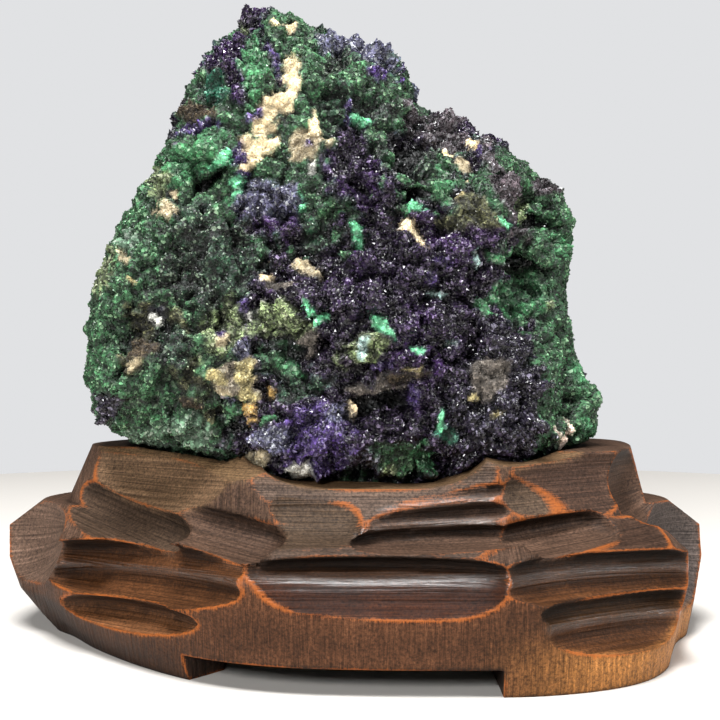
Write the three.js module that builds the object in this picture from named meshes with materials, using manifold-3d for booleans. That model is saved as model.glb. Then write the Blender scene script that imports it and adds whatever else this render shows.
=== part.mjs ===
// A malachite and azurite specimen resting on a carved hardwood stand.
// Millimetres, +Z up, front towards -Y. The origin is on the table, under the middle of the stand.
//
// The stone is one solid. Its front outline, its depth and the relief of each face are given below
// as short lists, repeatable noise roughens it, and a closed skin is drawn in round the result.
// The stand is one block of wood: a footed plate and a raised tier, cut back by gouge strokes,
// with a seat sunk into the top that follows the stone's underside.
import * as THREE from 'three';
import { mergeVertices } from 'three/addons/utils/BufferGeometryUtils.js';
import Module from 'manifold-3d';

const wasm = await Module();
wasm.setup();

// ---------------------------------------------------------------- stone: driving dimensions

const STONE_FOOT_Z = 36.3; // the flat patch that the stone rests on
const FOOT_GAP = 0.3; // air left under that patch
const SEAT_CLEARANCE = 0.8; // air left beside the stone in its seat
const SKIN_DETAIL = 12; // how finely the icosahedron under the stone's skin is divided
const SKIN_CENTRE = new THREE.Vector3(-2, 1, 82);
const SKIN_RADII = new THREE.Vector3(66, 36, 62); // the ellipsoid that spreads the skin's rays evenly
const SKIN_STEP = 0.03; // stride along a ray, as a share of those radii

// The stone's outline from the front, [x, z], clockwise from the peak.
const STONE_OUTLINE = [
  [-17.3, 154.4], [-13.5, 151.8], [-8.4, 148.4], [-1.2, 147], [5.2, 144.3], [8.9, 141], [13, 136.4],
  [13.2, 133.9], [12.2, 129.5], [16.3, 127.4], [23.5, 125.6], [28.2, 124], [34.1, 120.1], [38.5, 115.6],
  [42.7, 111.4], [47.7, 109.2], [53.6, 103.3], [54.9, 97.6], [53.4, 87.5], [51.2, 76], [53.4, 73.1],
  [55.8, 64.7], [59.5, 54.8], [62.3, 46.2], [59, 36], [52, 22], [-48, 22], [-56, 36], [-60.5, 46.2],
  [-64.2, 53], [-66.4, 59], [-65.6, 66.5], [-64.8, 75.1], [-64.8, 81], [-63.5, 87], [-62.8, 92], [-59, 99],
  [-55.8, 105], [-52.6, 112], [-48, 120.4], [-43.5, 127.2], [-40, 134.5], [-36.5, 140.8], [-31.5, 148],
  [-26.5, 153],
];

// How far the front and back faces stand out from the middle plane, [height, depth].
const FRONT_DEPTH = [[30, 36], [75, 36], [100, 30], [120, 23], [152, 14]];
const BACK_DEPTH = [[30, 31], [65, 33], [100, 25], [125, 19], [152, 12]];
const MIDDLE_PLANE = { atBase: 2, lean: 0.03 }; // y of the middle plane, and how it leans back
const ROUNDING = 23; // width of the rounded margin round the outline
const THINNEST = 4; // least depth of either face
const UNDERCUT = { from: 48, perMm: 0.017 }; // below this height the stone narrows towards its foot
// The underside: a flat middle that rises all round like a bowl, with an overhang left hanging in front.
const UNDERSIDE = { halfWidth: 61, halfDepth: 27, flat: 0.55, rise: 24 };
const OVERHANG = { x: 8, halfWidth: 38, drop: 14, at: 30 };

// Relief of each face: [x, z, half width, half height, amount, sharpness]. Positive stands out.
const FRONT_RELIEF = [
  [48, 95, 17, 26, -19, 3], // recess right of the dark front block
  [57, 56, 14, 20, -10, 3], // set-back green flank below it
  [29, 56, 15, 16, 4, 1], // dark bulge, lower right
  [-49, 57, 14, 11, 5, 1.5], // green lump, lower left
  [-44, 71, 14, 3, -3.5, 1.5], // crease over the lump
  [-26, 46, 5, 8, -7, 1.5], // notch between the lump and the middle
  [-31, 103, 5, 4, -4, 1], // hollow under the bright fan
  [-33, 127, 5, 5, -4, 1], // hollow near the peak
  [23, 117, 12, 9, -7, 2], // dark slope under the right shoulder
  [7, 64, 9, 4, 3, 1.5], // brown ledge
  [8, 57, 8, 2.5, -4, 1.5], // shadowed step under it
  [-8, 49.5, 14, 9, 4, 1.5], // violet belly over the rim
  [9, 44, 9, 6, 3, 1.5], // lump with a green patch
  [20, 45, 4, 6, -6, 1.5], // gap beside it
  [-25, 62, 5, 6, 2.5, 2], // tan knot
  [-20, 82, 4, 9, -3, 1.5], // dark cleft
];
const BACK_RELIEF = [
  [-34, 72, 20, 16, 5, 1.5],
  [22, 60, 18, 14, 4, 1.5],
  [6, 92, 12, 8, -6, 1.5],
  [-12, 118, 10, 12, 4, 1.5],
  [44, 84, 9, 12, -6, 2],
  [-4, 56, 6, 14, -5, 1.5],
  [-52, 52, 9, 9, -4, 1.5],
];

// Knobs that grew out of the surface and pits in it: [x, z, face, radius]. Face -1 is the front, 1 the back.
const KNOBS = [
  [13.6, 107.3, -1, 3.6], [19, 103, -1, 2.6], [50, 99, -1, 4.5], [44, 106, -1, 3.8], [46, 78, -1, 4.5],
  [54, 56, -1, 5], [-50, 62, -1, 6.5], [-41, 54, -1, 5], [-22, 146, -1, 4], [30, 88, 1, 6], [-30, 92, 1, 7],
  [10, 62, 1, 6.5],
];
const PITS = [
  [43, 98, -1, 4.2], [41, 83, -1, 5], [12.5, 101.5, -1, 3.2], [-36, 126, -1, 3.6], [-2, 80, 1, 4.5],
  [34, 70, 1, 4.2],
];
const KNOB_SUNK = 0.4; // share of its radius that a knob's middle lies under the surface

// Lumps all over: [wavelength, height].
const STONE_LUMPS = [[19, 4], [8.5, 2.6]];
const CALM_EDGE = { least: 0.3, width: 16 };

// ---------------------------------------------------------------- stand: driving dimensions

// How the outlines below change with height: [z, left, right, front, back], each a share of the outline.
const PLATE_LEVELS = [
  [0, 0.86, 0.95, 0.95, 0.93], [4, 0.905, 0.96, 0.965, 0.95], [10, 0.965, 0.975, 0.98, 0.97],
  [17, 0.995, 1, 0.995, 0.99], [24.5, 1, 1, 1, 1], [31, 0.9, 0.9, 0.8, 0.8],
];
const TIER_LEVELS = [[23, 1.03, 1.03, 1.02, 1.02], [44.6, 0.9, 0.95, 0.94, 0.94]];
const OUTLINE_POINTS = 42;

// Outline of the plate seen from above, [x, y], from the left ear round the front.
const PLATE_OUTLINE = [
  [-85.8, 4], [-83.8, -5], [-77, -12], [-68, -23], [-55, -35.5], [-41, -46], [-28, -53], [-14, -57],
  [2, -58.6], [20, -59], [36, -58.5], [50, -55], [61, -49], [68.5, -40], [73, -29], [77.5, -18],
  [83, -9], [85.4, 3], [83, 15], [76, 26], [65, 38], [48, 49], [28, 56], [4, 58.6], [-20, 57], [-42, 50],
  [-60, 40], [-74, 28], [-83, 16],
];
// Outline of the raised tier, from its left end round the front.
const TIER_OUTLINE = [
  [-72, 3], [-69, -8], [-58, -18.5], [-45, -27.5], [-32, -35], [-18, -40], [0, -42.5], [18, -42.5], [34, -40],
  [48, -35], [59, -27], [67.5, -14], [71, 4], [69, 16], [58, 27], [43, 34], [22, 38], [-5, 39], [-30, 36],
  [-52, 28], [-66, 16],
];

// Gouge strokes, each a long egg taken out of the wood:
// [centre x, y, z, half length, half depth, half height, turn about Z, tilt of the stroke, bluntness].
// A bluntness of 2 runs out to a point at each end, and more stops short against a knife cut.
const GOUGES = [
  // plate
  [2, -60, 24.5, 27.5, 10.5, 2.6, 0, 0, 2.2],
  [2.5, -66, 21.6, 29.5, 11.2, 8.6, 0, 0, 5],
  [-46.5, -43, 23.2, 37, 11.5, 4.2, -41, -3, 2],
  [-46.5, -43.6, 18.2, 36, 11, 4, -41, -3, 2],
  [-51, -40, 11.4, 27, 8.4, 3.8, -40, -3, 2],
  [52, -56.4, 24, 35, 13, 3.6, 30, 2, 2],
  [53, -56.4, 19.9, 35, 13, 3.6, 31, 2, 2],
  [57, -54.6, 15.4, 25, 12, 3.4, 34, 2, 4],
  [56.5, -56, 10.8, 26, 11.4, 4.4, 34, 2, 3],
  [0, 62.5, 21.5, 30, 10.5, 8.6, 0, 0, 2],
  [51, 54.5, 20.5, 31, 10, 6, -30, 0, 2],
  [-55, 51.5, 20.5, 31, 10, 6, 31, 0, 2],
  [56, 48.5, 8.5, 25, 8.5, 4.8, -33, 0, 2],
  [-58, 46, 8.5, 25, 8.5, 4.8, 34, 0, 2],
  // ears
  [-90, -23, 28, 24, 24, 24, 0, 0, 2],
  [90.3, -21.8, 26.2, 24, 24, 24, 0, 0, 2],
  // sweep of the plate's top, up to the tier
  [0, -66, 43.6, 44, 31, 19, 0, 0, 4],
  [-58, -43, 43.4, 42, 29, 18.5, -34, 0, 2],
  [58, -50, 42.9, 40, 25, 17.8, 30, 0, 2],
  [0, 66, 42.2, 50, 30, 19, 0, 0, 4],
  [-62, 48, 42, 38, 27, 18, 33, 0, 2],
  [62, 48, 42, 38, 27, 18, -33, 0, 2],
  // tier
  [-56, -27.6, 31.6, 23, 10, 5.4, -37, 11, 8],
  [-31, -43.4, 30.6, 17, 9.6, 4.6, -24, 9, 8],
  [-9, -51, 35.4, 12.5, 13, 8, -4, 0, 6],
  [19.5, -45.6, 36.8, 17.5, 8, 2.3, 3, -6, 3],
  [19, -46, 32.7, 18, 8.4, 2.5, 3, -4, 3],
  [18, -46.4, 28.6, 19, 8.4, 2.2, 3, -2, 3],
  [43.5, -43, 37.5, 13.5, 9.8, 7.2, 24, -2, 6],
  [44.5, -42.4, 29.6, 14.5, 9.5, 3.6, 24, -5, 8],
  [69.5, -20.5, 37, 14, 11, 11, 60, 0, 4],
  [-40, 36.5, 35, 20, 7.5, 6.5, 16, 0, 4],
  [0, 43, 33, 19, 8, 6.5, 0, 0, 4],
  [36, 39.5, 36, 18, 7.5, 8, -12, 0, 4],
  [60, 31, 35, 15, 8, 8, -40, 0, 4],
  [-62.5, 24, 37, 14, 7, 8, 48, 0, 4],
  // top
  [3, -34, 54, 28, 30, 16.5, 0, 0, 4],
  [-46, -36, 51.5, 46, 22, 14, -31, 2, 3],
  [42, -40, 53, 22, 24, 11, 22, 0, 3],
  [4, 44, 52, 34, 22, 11, 0, 0, 3],
  [-2, 0, 52, 60, 33, 13.6, 0, 0, 2],
];

const STROKE_SIDES = 12;
const STROKE_RINGS = 7;

// What is taken out from below, which leaves a long foot at each end: corners seen from above, [x, y].
const FOOT_HEIGHT = 5.5;
const FOOT_CUTS = [
  [[-27.5, -70], [28.5, -70], [28.5, 70], [-27.5, 70]],
  [[-46, -26], [46, -26], [46, 26], [-46, 26]],
  [[-56, -70], [-27.4, -70], [-27.4, -38]], // slants the end of the left foot
];
const BELOW_TABLE = 1; // how far below the table each of these cuts starts

// ---------------------------------------------------------------- repeatable noise

const clamp = (v, low, high) => Math.min(high, Math.max(low, v));

// A value from 0 to 1 that depends only on the lattice point.
function latticeValue(ix, iy, iz, seed) {
  let h = Math.imul(ix, 374761393) + Math.imul(iy, 668265263) + Math.imul(iz, 1274126177);
  h = (h + Math.imul(seed, 974634777)) | 0;
  h = Math.imul(h ^ (h >>> 13), 1103515245);
  h ^= h >>> 16;
  return (h >>> 0) / 4294967296;
}

// Smooth noise from -1 to 1, with lumps about one unit across.
function smoothNoise(x, y, z, seed) {
  const cell = [Math.floor(x), Math.floor(y), Math.floor(z)];
  const ease = [x - cell[0], y - cell[1], z - cell[2]].map((t) => t * t * (3 - 2 * t));
  let sum = 0;
  for (let corner = 0; corner < 8; corner++) {
    const step = [corner & 1, (corner >> 1) & 1, (corner >> 2) & 1];
    const share = step.reduce((w, s, i) => w * (s ? ease[i] : 1 - ease[i]), 1);
    sum += share * latticeValue(cell[0] + step[0], cell[1] + step[1], cell[2] + step[2], seed);
  }
  return 2 * sum - 1;
}

// ---------------------------------------------------------------- stone

// Value of a [position, value] list at a position, on straight lines between its entries.
function along(list, at) {
  if (at <= list[0][0]) return list[0][1];
  for (let i = 1; i < list.length; i++) {
    const [a, va] = list[i - 1];
    const [b, vb] = list[i];
    if (at <= b) return va + ((vb - va) * (at - a)) / (b - a);
  }
  return list[list.length - 1][1];
}

// Distance to a closed outline, negative inside it.
function outlineDistance(outline, x, z) {
  let nearest = Infinity;
  let inside = false;
  for (let i = 0, j = outline.length - 1; i < outline.length; j = i++) {
    const [ax, az] = outline[i];
    const [bx, bz] = outline[j];
    const ex = bx - ax;
    const ez = bz - az;
    const t = clamp(((x - ax) * ex + (z - az) * ez) / (ex * ex + ez * ez), 0, 1);
    nearest = Math.min(nearest, Math.hypot(x - ax - t * ex, z - az - t * ez));
    if (az > z !== bz > z && x < ax + ((z - az) * ex) / ez) inside = !inside;
  }
  return inside ? -nearest : nearest;
}

function relief(list, x, z) {
  let sum = 0;
  for (const [cx, cz, rx, rz, amount, sharpness] of list) {
    const q = ((x - cx) / rx) ** 2 + ((z - cz) / rz) ** 2;
    if (q < 9) sum += amount * Math.exp(-(q ** sharpness));
  }
  return sum;
}

// The stone before its roughness: below 0 inside and above 0 outside, but not yet a distance.
function bodyField(x, y, z) {
  const narrow = 1 + UNDERCUT.perMm * Math.max(0, UNDERCUT.from - z);
  const inset = -outlineDistance(STONE_OUTLINE, x * narrow, z);
  const middle = MIDDLE_PLANE.atBase + MIDDLE_PLANE.lean * (z - STONE_FOOT_Z);
  const out = (y - middle) * narrow;
  const depth = out < 0
    ? along(FRONT_DEPTH, z) + relief(FRONT_RELIEF, x, z)
    : along(BACK_DEPTH, z) + relief(BACK_RELIEF, x, z);
  const margin = 1 - Math.min(1, inset / ROUNDING);
  return (out / Math.max(THINNEST, depth)) ** 2 + margin * margin - 1;
}

// Height of the underside, over and above the foot.
function undersideRise(x, y) {
  const out = Math.hypot(x / UNDERSIDE.halfWidth, y / UNDERSIDE.halfDepth);
  const overhang = OVERHANG.drop * Math.exp(-(((x - OVERHANG.x) / OVERHANG.halfWidth) ** 4));
  return UNDERSIDE.rise * Math.max(0, out - UNDERSIDE.flat) - overhang * clamp(-y / OVERHANG.at, 0, 1);
}

// Distance to the stone's surface, near enough, negative inside.
function stoneDistance(x, y, z) {
  const step = 0.5;
  const here = bodyField(x, y, z);
  const slope = Math.hypot(
    bodyField(x + step, y, z) - here,
    bodyField(x, y + step, z) - here,
    bodyField(x, y, z + step) - here,
  ) / step;
  let d = here / Math.max(slope, 0.03);
  // the lumps are lower where the outline passes, which keeps the outline's shape
  const share = CALM_EDGE.least + (1 - CALM_EDGE.least) * Math.min(1, Math.abs(y) / CALM_EDGE.width);
  STONE_LUMPS.forEach(([wavelength, height], i) => {
    d -= share * height * smoothNoise(x / wavelength, y / wavelength, z / wavelength, i + 1);
  });
  return Math.max(d, STONE_FOOT_Z + undersideRise(x, y) - z);
}

// A closed skin round the stone: the points of a subdivided icosahedron, each drawn in along its own
// ray towards the middle of the stone until it meets the surface. Each point then stands off it
// by the given gap, measured along the ray.
function skinOf(gap) {
  const skin = new THREE.IcosahedronGeometry(1, SKIN_DETAIL);
  const position = skin.attributes.position;
  for (let i = 0; i < position.count; i++) {
    const ray = new THREE.Vector3().fromBufferAttribute(position, i).multiply(SKIN_RADII);
    const point = meetingPoint(ray).addScaledVector(ray.normalize(), gap);
    position.setXYZ(i, point.x, point.y, point.z);
  }
  return solidOf(skin);
}

// Where a ray from the middle of the stone leaves it for the last time.
const met = new Map();
function meetingPoint(ray) {
  const key = ray.toArray().map((v) => v.toFixed(3)).join();
  if (!met.has(key)) {
    const pointAt = (t) => ray.clone().multiplyScalar(t).add(SKIN_CENTRE);
    const outsideAt = (t) => stoneDistance(...pointAt(t).toArray()) > 0;
    let outside = 1.5;
    while (outsideAt(outside - SKIN_STEP)) outside -= SKIN_STEP;
    let inside = outside - SKIN_STEP;
    for (let halving = 0; halving < 10; halving++) {
      const middle = (outside + inside) / 2;
      if (outsideAt(middle)) outside = middle;
      else inside = middle;
    }
    met.set(key, pointAt(outside));
  }
  return met.get(key).clone();
}

// ---------------------------------------------------------------- solids

// A closed geometry as a solid that can be joined and cut.
function solidOf(geometry) {
  const bare = geometry.clone();
  bare.deleteAttribute('normal');
  bare.deleteAttribute('uv');
  const merged = mergeVertices(bare, 1e-4);
  return new wasm.Manifold(new wasm.Mesh({
    numProp: 3,
    vertProperties: new Float32Array(merged.attributes.position.array),
    triVerts: new Uint32Array(merged.index.array),
  }));
}

// A solid as a geometry with flat faces.
function geometryOf(solid) {
  const mesh = solid.getMesh();
  const geometry = new THREE.BufferGeometry();
  geometry.setAttribute('position', new THREE.BufferAttribute(mesh.vertProperties, mesh.numProp));
  geometry.setIndex(new THREE.BufferAttribute(mesh.triVerts, 1));
  return geometry;
}

function blockOf(low, high) {
  const size = high.map((h, i) => h - low[i]);
  const middle = high.map((h, i) => (h + low[i]) / 2);
  return solidOf(new THREE.BoxGeometry(...size).translate(...middle));
}

function footCutOf(corners) {
  const shape = new THREE.Shape(corners.map(([x, y]) => new THREE.Vector2(x, y)));
  const cut = new THREE.ExtrudeGeometry(shape, { depth: FOOT_HEIGHT + BELOW_TABLE, bevelEnabled: false });
  return solidOf(cut.translate(0, 0, -BELOW_TABLE));
}

// A solid block lofted through one smooth outline, which takes its own share at each level.
function loftOf(outline, levels) {
  const curve = new THREE.CatmullRomCurve3(
    outline.map(([x, y]) => new THREE.Vector3(x, y, 0)), true, 'catmullrom', 0.5);
  const points = curve.getPoints(OUTLINE_POINTS).slice(0, -1);
  const shape = new THREE.Shape(points.map((p) => new THREE.Vector2(p.x, p.y)));
  const steps = levels.length - 1;
  const loft = new THREE.ExtrudeGeometry(shape, { depth: steps, steps, bevelEnabled: false });
  const position = loft.attributes.position;
  for (let i = 0; i < position.count; i++) {
    const [z, left, right, front, back] = levels[Math.round(position.getZ(i))];
    const x = position.getX(i);
    const y = position.getY(i);
    position.setXYZ(i, x * (x < 0 ? left : right), y * (y < 0 ? front : back), z);
  }
  return solidOf(loft);
}

function gougeOf([x, y, z, halfLength, halfDepth, halfHeight, turn, tilt, bluntness]) {
  const stroke = new THREE.SphereGeometry(1, STROKE_SIDES, STROKE_RINGS).rotateX(Math.PI / 2);
  const position = stroke.attributes.position;
  for (let i = 0; i < position.count; i++) {
    const along = position.getX(i);
    position.setX(i, Math.sign(along) * Math.abs(along) ** (2 / bluntness));
  }
  stroke.scale(halfLength, halfDepth, halfHeight);
  stroke.rotateY(THREE.MathUtils.degToRad(tilt));
  stroke.rotateZ(THREE.MathUtils.degToRad(turn));
  return solidOf(stroke.translate(x, y, z));
}

// A ball on the stone's surface, its middle sunk in by the given share of its radius.
function ballOf([x, z, face, radius], sunk, extra) {
  let y = face * 50;
  while (stoneDistance(x, y, z) > 0) y -= face * 0.5;
  const ball = new THREE.IcosahedronGeometry(radius + extra, 1);
  return solidOf(ball.translate(x, y - face * sunk * radius, z));
}

const belowFoot = blockOf([-100, -100, 0], [100, 100, STONE_FOOT_Z]);
const belowSeat = blockOf([-100, -100, 0], [100, 100, STONE_FOOT_Z - FOOT_GAP]);
let stone = skinOf(0);
let stoneRoom = skinOf(SEAT_CLEARANCE);
for (const knob of KNOBS) {
  stone = stone.add(ballOf(knob, KNOB_SUNK, 0));
  stoneRoom = stoneRoom.add(ballOf(knob, KNOB_SUNK, SEAT_CLEARANCE));
}
for (const pit of PITS) stone = stone.subtract(ballOf(pit, 0, 0));
stone = stone.subtract(belowFoot);
stoneRoom = stoneRoom.subtract(belowSeat);

let wood = loftOf(PLATE_OUTLINE, PLATE_LEVELS).add(loftOf(TIER_OUTLINE, TIER_LEVELS));
for (const gouge of GOUGES) wood = wood.subtract(gougeOf(gouge));
for (const corners of FOOT_CUTS) wood = wood.subtract(footCutOf(corners));
wood = wood.subtract(stoneRoom);

// ---------------------------------------------------------------- the specimen

const stoneFinish = new THREE.MeshStandardMaterial({ color: 0x1f4a35, roughness: 0.55, metalness: 0 });
const woodFinish = new THREE.MeshStandardMaterial({ color: 0x3b2a20, roughness: 0.4, metalness: 0 });

const stoneMesh = new THREE.Mesh(geometryOf(stone), stoneFinish);
stoneMesh.name = 'malachite_stone';
const standMesh = new THREE.Mesh(geometryOf(wood), woodFinish);
standMesh.name = 'carved_stand';

const specimen = new THREE.Group();
specimen.add(stoneMesh, standMesh);
export default specimen;
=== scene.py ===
import math

import bpy
import numpy as np
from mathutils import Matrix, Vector
from mathutils.bvhtree import BVHTree


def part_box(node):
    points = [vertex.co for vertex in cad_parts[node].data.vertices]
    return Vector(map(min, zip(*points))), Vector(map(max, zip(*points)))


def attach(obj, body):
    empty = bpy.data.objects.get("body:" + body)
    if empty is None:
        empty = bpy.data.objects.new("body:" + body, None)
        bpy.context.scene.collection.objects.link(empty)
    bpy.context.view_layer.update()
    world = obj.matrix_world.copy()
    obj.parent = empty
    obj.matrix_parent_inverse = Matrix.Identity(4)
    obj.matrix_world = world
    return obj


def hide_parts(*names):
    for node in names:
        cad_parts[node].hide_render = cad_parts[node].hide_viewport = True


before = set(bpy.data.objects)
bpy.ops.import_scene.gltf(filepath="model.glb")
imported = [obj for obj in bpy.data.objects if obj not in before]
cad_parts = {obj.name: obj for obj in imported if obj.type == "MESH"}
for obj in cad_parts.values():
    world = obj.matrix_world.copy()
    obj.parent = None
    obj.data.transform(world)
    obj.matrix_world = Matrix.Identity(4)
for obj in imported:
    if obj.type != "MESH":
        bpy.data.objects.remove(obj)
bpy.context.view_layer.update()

# ---------------------------------------------------------------- the studio
# A round pale table top in a plain, evenly lit room. A wide soft light hangs over it, smaller ones
# stand at the front left and the right for the glints in the crystals, and the room fills the shadows.

MM = 0.001
TABLE_RADIUS = 0.42
TABLE_THICKNESS = 0.02
TABLE_SIDES = 96
TABLE_PAINT = "#e9e5df"
ROOM_PAINT = "#e4e5e7"
ROOM_SEEN = 0.97  # how bright the wall is to the eye
ROOM_LIGHT = 0.10  # and how much light it throws, held back so that the crystals keep their contrast
EYE = Vector((0.001, -0.252, 0.063))  # where the camera stands
EYE_TILT = math.radians(0.505)
LENS = 51.0
SENSOR = 36.0
# each light: name, place, size across, power in watts, point that it faces
LIGHTS = [
    ("ceiling_softbox", (-0.08, -0.26, 0.84), 0.34, 10.5, (0, 0, 0.06)),
    ("front_lamp", (-0.28, -0.66, 0.36), 0.20, 3.5, (0, 0, 0.07)),
    ("right_window", (0.75, -0.25, 0.50), 0.30, 4.0, (0, 0, 0.08)),
]


def colour(hex_code):
    """A linear colour with alpha from an sRGB hex code."""
    parts = [int(hex_code[i:i + 2], 16) / 255 for i in (1, 3, 5)]
    return [c / 12.92 if c <= 0.04045 else ((c + 0.055) / 1.055) ** 2.4 for c in parts] + [1.0]


def add(tree, kind, inputs=None, **settings):
    """Adds a node with its settings. An input is a plain value, an output socket to link from, or a node
    to link from by its first output."""
    node = tree.nodes.new("ShaderNode" + kind)
    for name, value in settings.items():
        setattr(node, name, value)
    for name, value in (inputs or {}).items():
        if isinstance(value, bpy.types.Node):
            value = value.outputs[0]
        if isinstance(value, bpy.types.NodeSocket):
            tree.links.new(value, node.inputs[name])
        else:
            node.inputs[name].default_value = value
    return node


def new_material(name):
    """A material with nothing in it yet, and its node tree."""
    material = bpy.data.materials.new(name)
    material.use_nodes = True
    material.node_tree.nodes.clear()
    return material, material.node_tree


def new_piece(name, points, faces, material, smooth=True):
    """A mesh object from points in millimetres and rows of corner numbers."""
    mesh = bpy.data.meshes.new(name)
    faces = np.asarray(faces)
    sides = faces.shape[1]
    mesh.vertices.add(len(points))
    mesh.vertices.foreach_set("co", (np.asarray(points) * MM).astype(np.float32).ravel())
    mesh.loops.add(faces.size)
    mesh.loops.foreach_set("vertex_index", faces.astype(np.int32).ravel())
    mesh.polygons.add(len(faces))
    mesh.polygons.foreach_set("loop_start", np.arange(0, faces.size, sides, dtype=np.int32))
    mesh.polygons.foreach_set("use_smooth", np.full(len(faces), smooth))
    mesh.update(calc_edges=True)
    mesh.validate()
    mesh.materials.append(material)
    piece = bpy.data.objects.new(name, mesh)
    bpy.context.scene.collection.objects.link(piece)
    return piece


def set_attributes(piece, **kept):
    """Stores values for a piece's material to read: a number or a colour for each point or, where the
    rows are faces, a place for each of their corners."""
    for name, values in kept.items():
        kind, domain, field = [
            ("FLOAT", "POINT", "value"), ("FLOAT_COLOR", "POINT", "color"),
            ("FLOAT_VECTOR", "CORNER", "vector")][values.ndim - 1]
        if kind == "FLOAT_COLOR":
            values = np.c_[values, np.ones(len(values))]
        attribute = piece.data.attributes.new(name, kind, domain)
        attribute.data.foreach_set(field, values.astype(np.float32).ravel())


paint, tree = new_material("matt_table_paint")  # rolled emulsion: even, with a very faint nap
nap = add(tree, "TexNoise", {"Scale": 1 / (3 * MM), "Detail": 4.0})
nap_bump = add(tree, "Bump", {"Height": nap, "Distance": 0.05 * MM})
shader = add(tree, "BsdfPrincipled", {
    "Base Color": colour(TABLE_PAINT), "Roughness": 0.75, "Normal": nap_bump})
add(tree, "OutputMaterial", {"Surface": shader})

bpy.ops.mesh.primitive_cylinder_add(
    vertices=TABLE_SIDES, radius=TABLE_RADIUS, depth=TABLE_THICKNESS, location=(0, 0, -TABLE_THICKNESS / 2))
table = bpy.context.object
table.name = "table_top"
table.data.materials.append(paint)

room = bpy.data.worlds.new("room")
bpy.context.scene.world = room
room.use_nodes = True
tree = room.node_tree
tree.nodes.clear()
seen = add(tree, "LightPath").outputs["Is Camera Ray"]
strength = add(tree, "Mix", {0: seen, 2: ROOM_LIGHT, 3: ROOM_SEEN}, data_type="FLOAT")
wall = add(tree, "Background", {"Color": colour(ROOM_PAINT), "Strength": strength})
add(tree, "OutputWorld", {"Surface": wall})

for name, place, size, power, target in LIGHTS:
    lamp = bpy.data.lights.new(name, "AREA")
    lamp.shape = "DISK"
    lamp.size = size
    lamp.energy = power
    holder = bpy.data.objects.new(name, lamp)
    holder.location = place
    holder.rotation_euler = (Vector(target) - Vector(place)).to_track_quat("-Z", "Y").to_euler()
    bpy.context.scene.collection.objects.link(holder)

camera = bpy.data.cameras.new("camera")
camera.lens = LENS
camera.sensor_width = SENSOR
camera.clip_start = 0.01
camera_holder = bpy.data.objects.new("camera", camera)
camera_holder.location = EYE
camera_holder.rotation_euler = (math.pi / 2 + EYE_TILT, 0, 0)
bpy.context.scene.collection.objects.link(camera_holder)
bpy.context.scene.camera = camera_holder
bpy.context.scene.view_settings.view_transform = "Standard"

# ---------------------------------------------------------------- the carved stand
# One block of hardwood: a footed plate and a raised tier, cut with gouges and a knife so that it looks
# like a rock, stained almost black, waxed, and rubbed back to bare red wood along every ridge.
# The stone is let into a seat in its top. Sizes are in millimetres, and are those of the solid.

# How the outlines change with height: height, then the share of the outline left, right, front, back.
PLATE_LEVELS = [
    (0, .86, .95, .95, .93), (4, .905, .96, .965, .95), (10, .965, .975, .98, .97),
    (17, .995, 1, .995, .99), (24.5, 1, 1, 1, 1), (31, .9, .9, .8, .8)]
TIER_LEVELS = [(23, 1.03, 1.03, 1.02, 1.02), (44.6, .9, .95, .94, .94)]
PLATE_OUTLINE = [
    (-85.8, 4), (-83.8, -5), (-77, -12), (-68, -23), (-55, -35.5), (-41, -46), (-28, -53), (-14, -57),
    (2, -58.6), (20, -59), (36, -58.5), (50, -55), (61, -49), (68.5, -40), (73, -29), (77.5, -18), (83, -9),
    (85.4, 3), (83, 15), (76, 26), (65, 38), (48, 49), (28, 56), (4, 58.6), (-20, 57), (-42, 50), (-60, 40),
    (-74, 28), (-83, 16)]
TIER_OUTLINE = [
    (-72, 3), (-69, -8), (-58, -18.5), (-45, -27.5), (-32, -35), (-18, -40), (0, -42.5), (18, -42.5),
    (34, -40), (48, -35), (59, -27), (67.5, -14), (71, 4), (69, 16), (58, 27), (43, 34), (22, 38), (-5, 39),
    (-30, 36), (-52, 28), (-66, 16)]
# Gouge strokes: middle x, y, z, half length, depth and height, turn, tilt, and how blunt the ends are.
# 2 gives a stroke that runs out to a point, and more gives one that stops short against a knife cut.
PLATE_STROKES = [
    (2, -60, 24.5, 27.5, 10.5, 2.6, 0, 0, 2.2), (2.5, -66, 21.6, 29.5, 11.2, 8.6, 0, 0, 5),
    (-46.5, -43, 23.2, 37, 11.5, 4.2, -41, -3, 2), (-46.5, -43.6, 18.2, 36, 11, 4, -41, -3, 2),
    (-51, -40, 11.4, 27, 8.4, 3.8, -40, -3, 2), (52, -56.4, 24, 35, 13, 3.6, 30, 2, 2),
    (53, -56.4, 19.9, 35, 13, 3.6, 31, 2, 2), (57, -54.6, 15.4, 25, 12, 3.4, 34, 2, 4),
    (56.5, -56, 10.8, 26, 11.4, 4.4, 34, 2, 3),
    (0, 62.5, 21.5, 30, 10.5, 8.6, 0, 0, 2), (51, 54.5, 20.5, 31, 10, 6, -30, 0, 2),
    (-55, 51.5, 20.5, 31, 10, 6, 31, 0, 2), (56, 48.5, 8.5, 25, 8.5, 4.8, -33, 0, 2),
    (-58, 46, 8.5, 25, 8.5, 4.8, 34, 0, 2)]
EAR_STROKES = [(-90, -23, 28, 24, 24, 24, 0, 0, 2), (90.3, -21.8, 26.2, 24, 24, 24, 0, 0, 2)]
SWEEP_STROKES = [
    (0, -66, 43.6, 44, 31, 19, 0, 0, 4), (-58, -43, 43.4, 42, 29, 18.5, -34, 0, 2),
    (58, -50, 42.9, 40, 25, 17.8, 30, 0, 2), (0, 66, 42.2, 50, 30, 19, 0, 0, 4),
    (-62, 48, 42, 38, 27, 18, 33, 0, 2), (62, 48, 42, 38, 27, 18, -33, 0, 2)]
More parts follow.
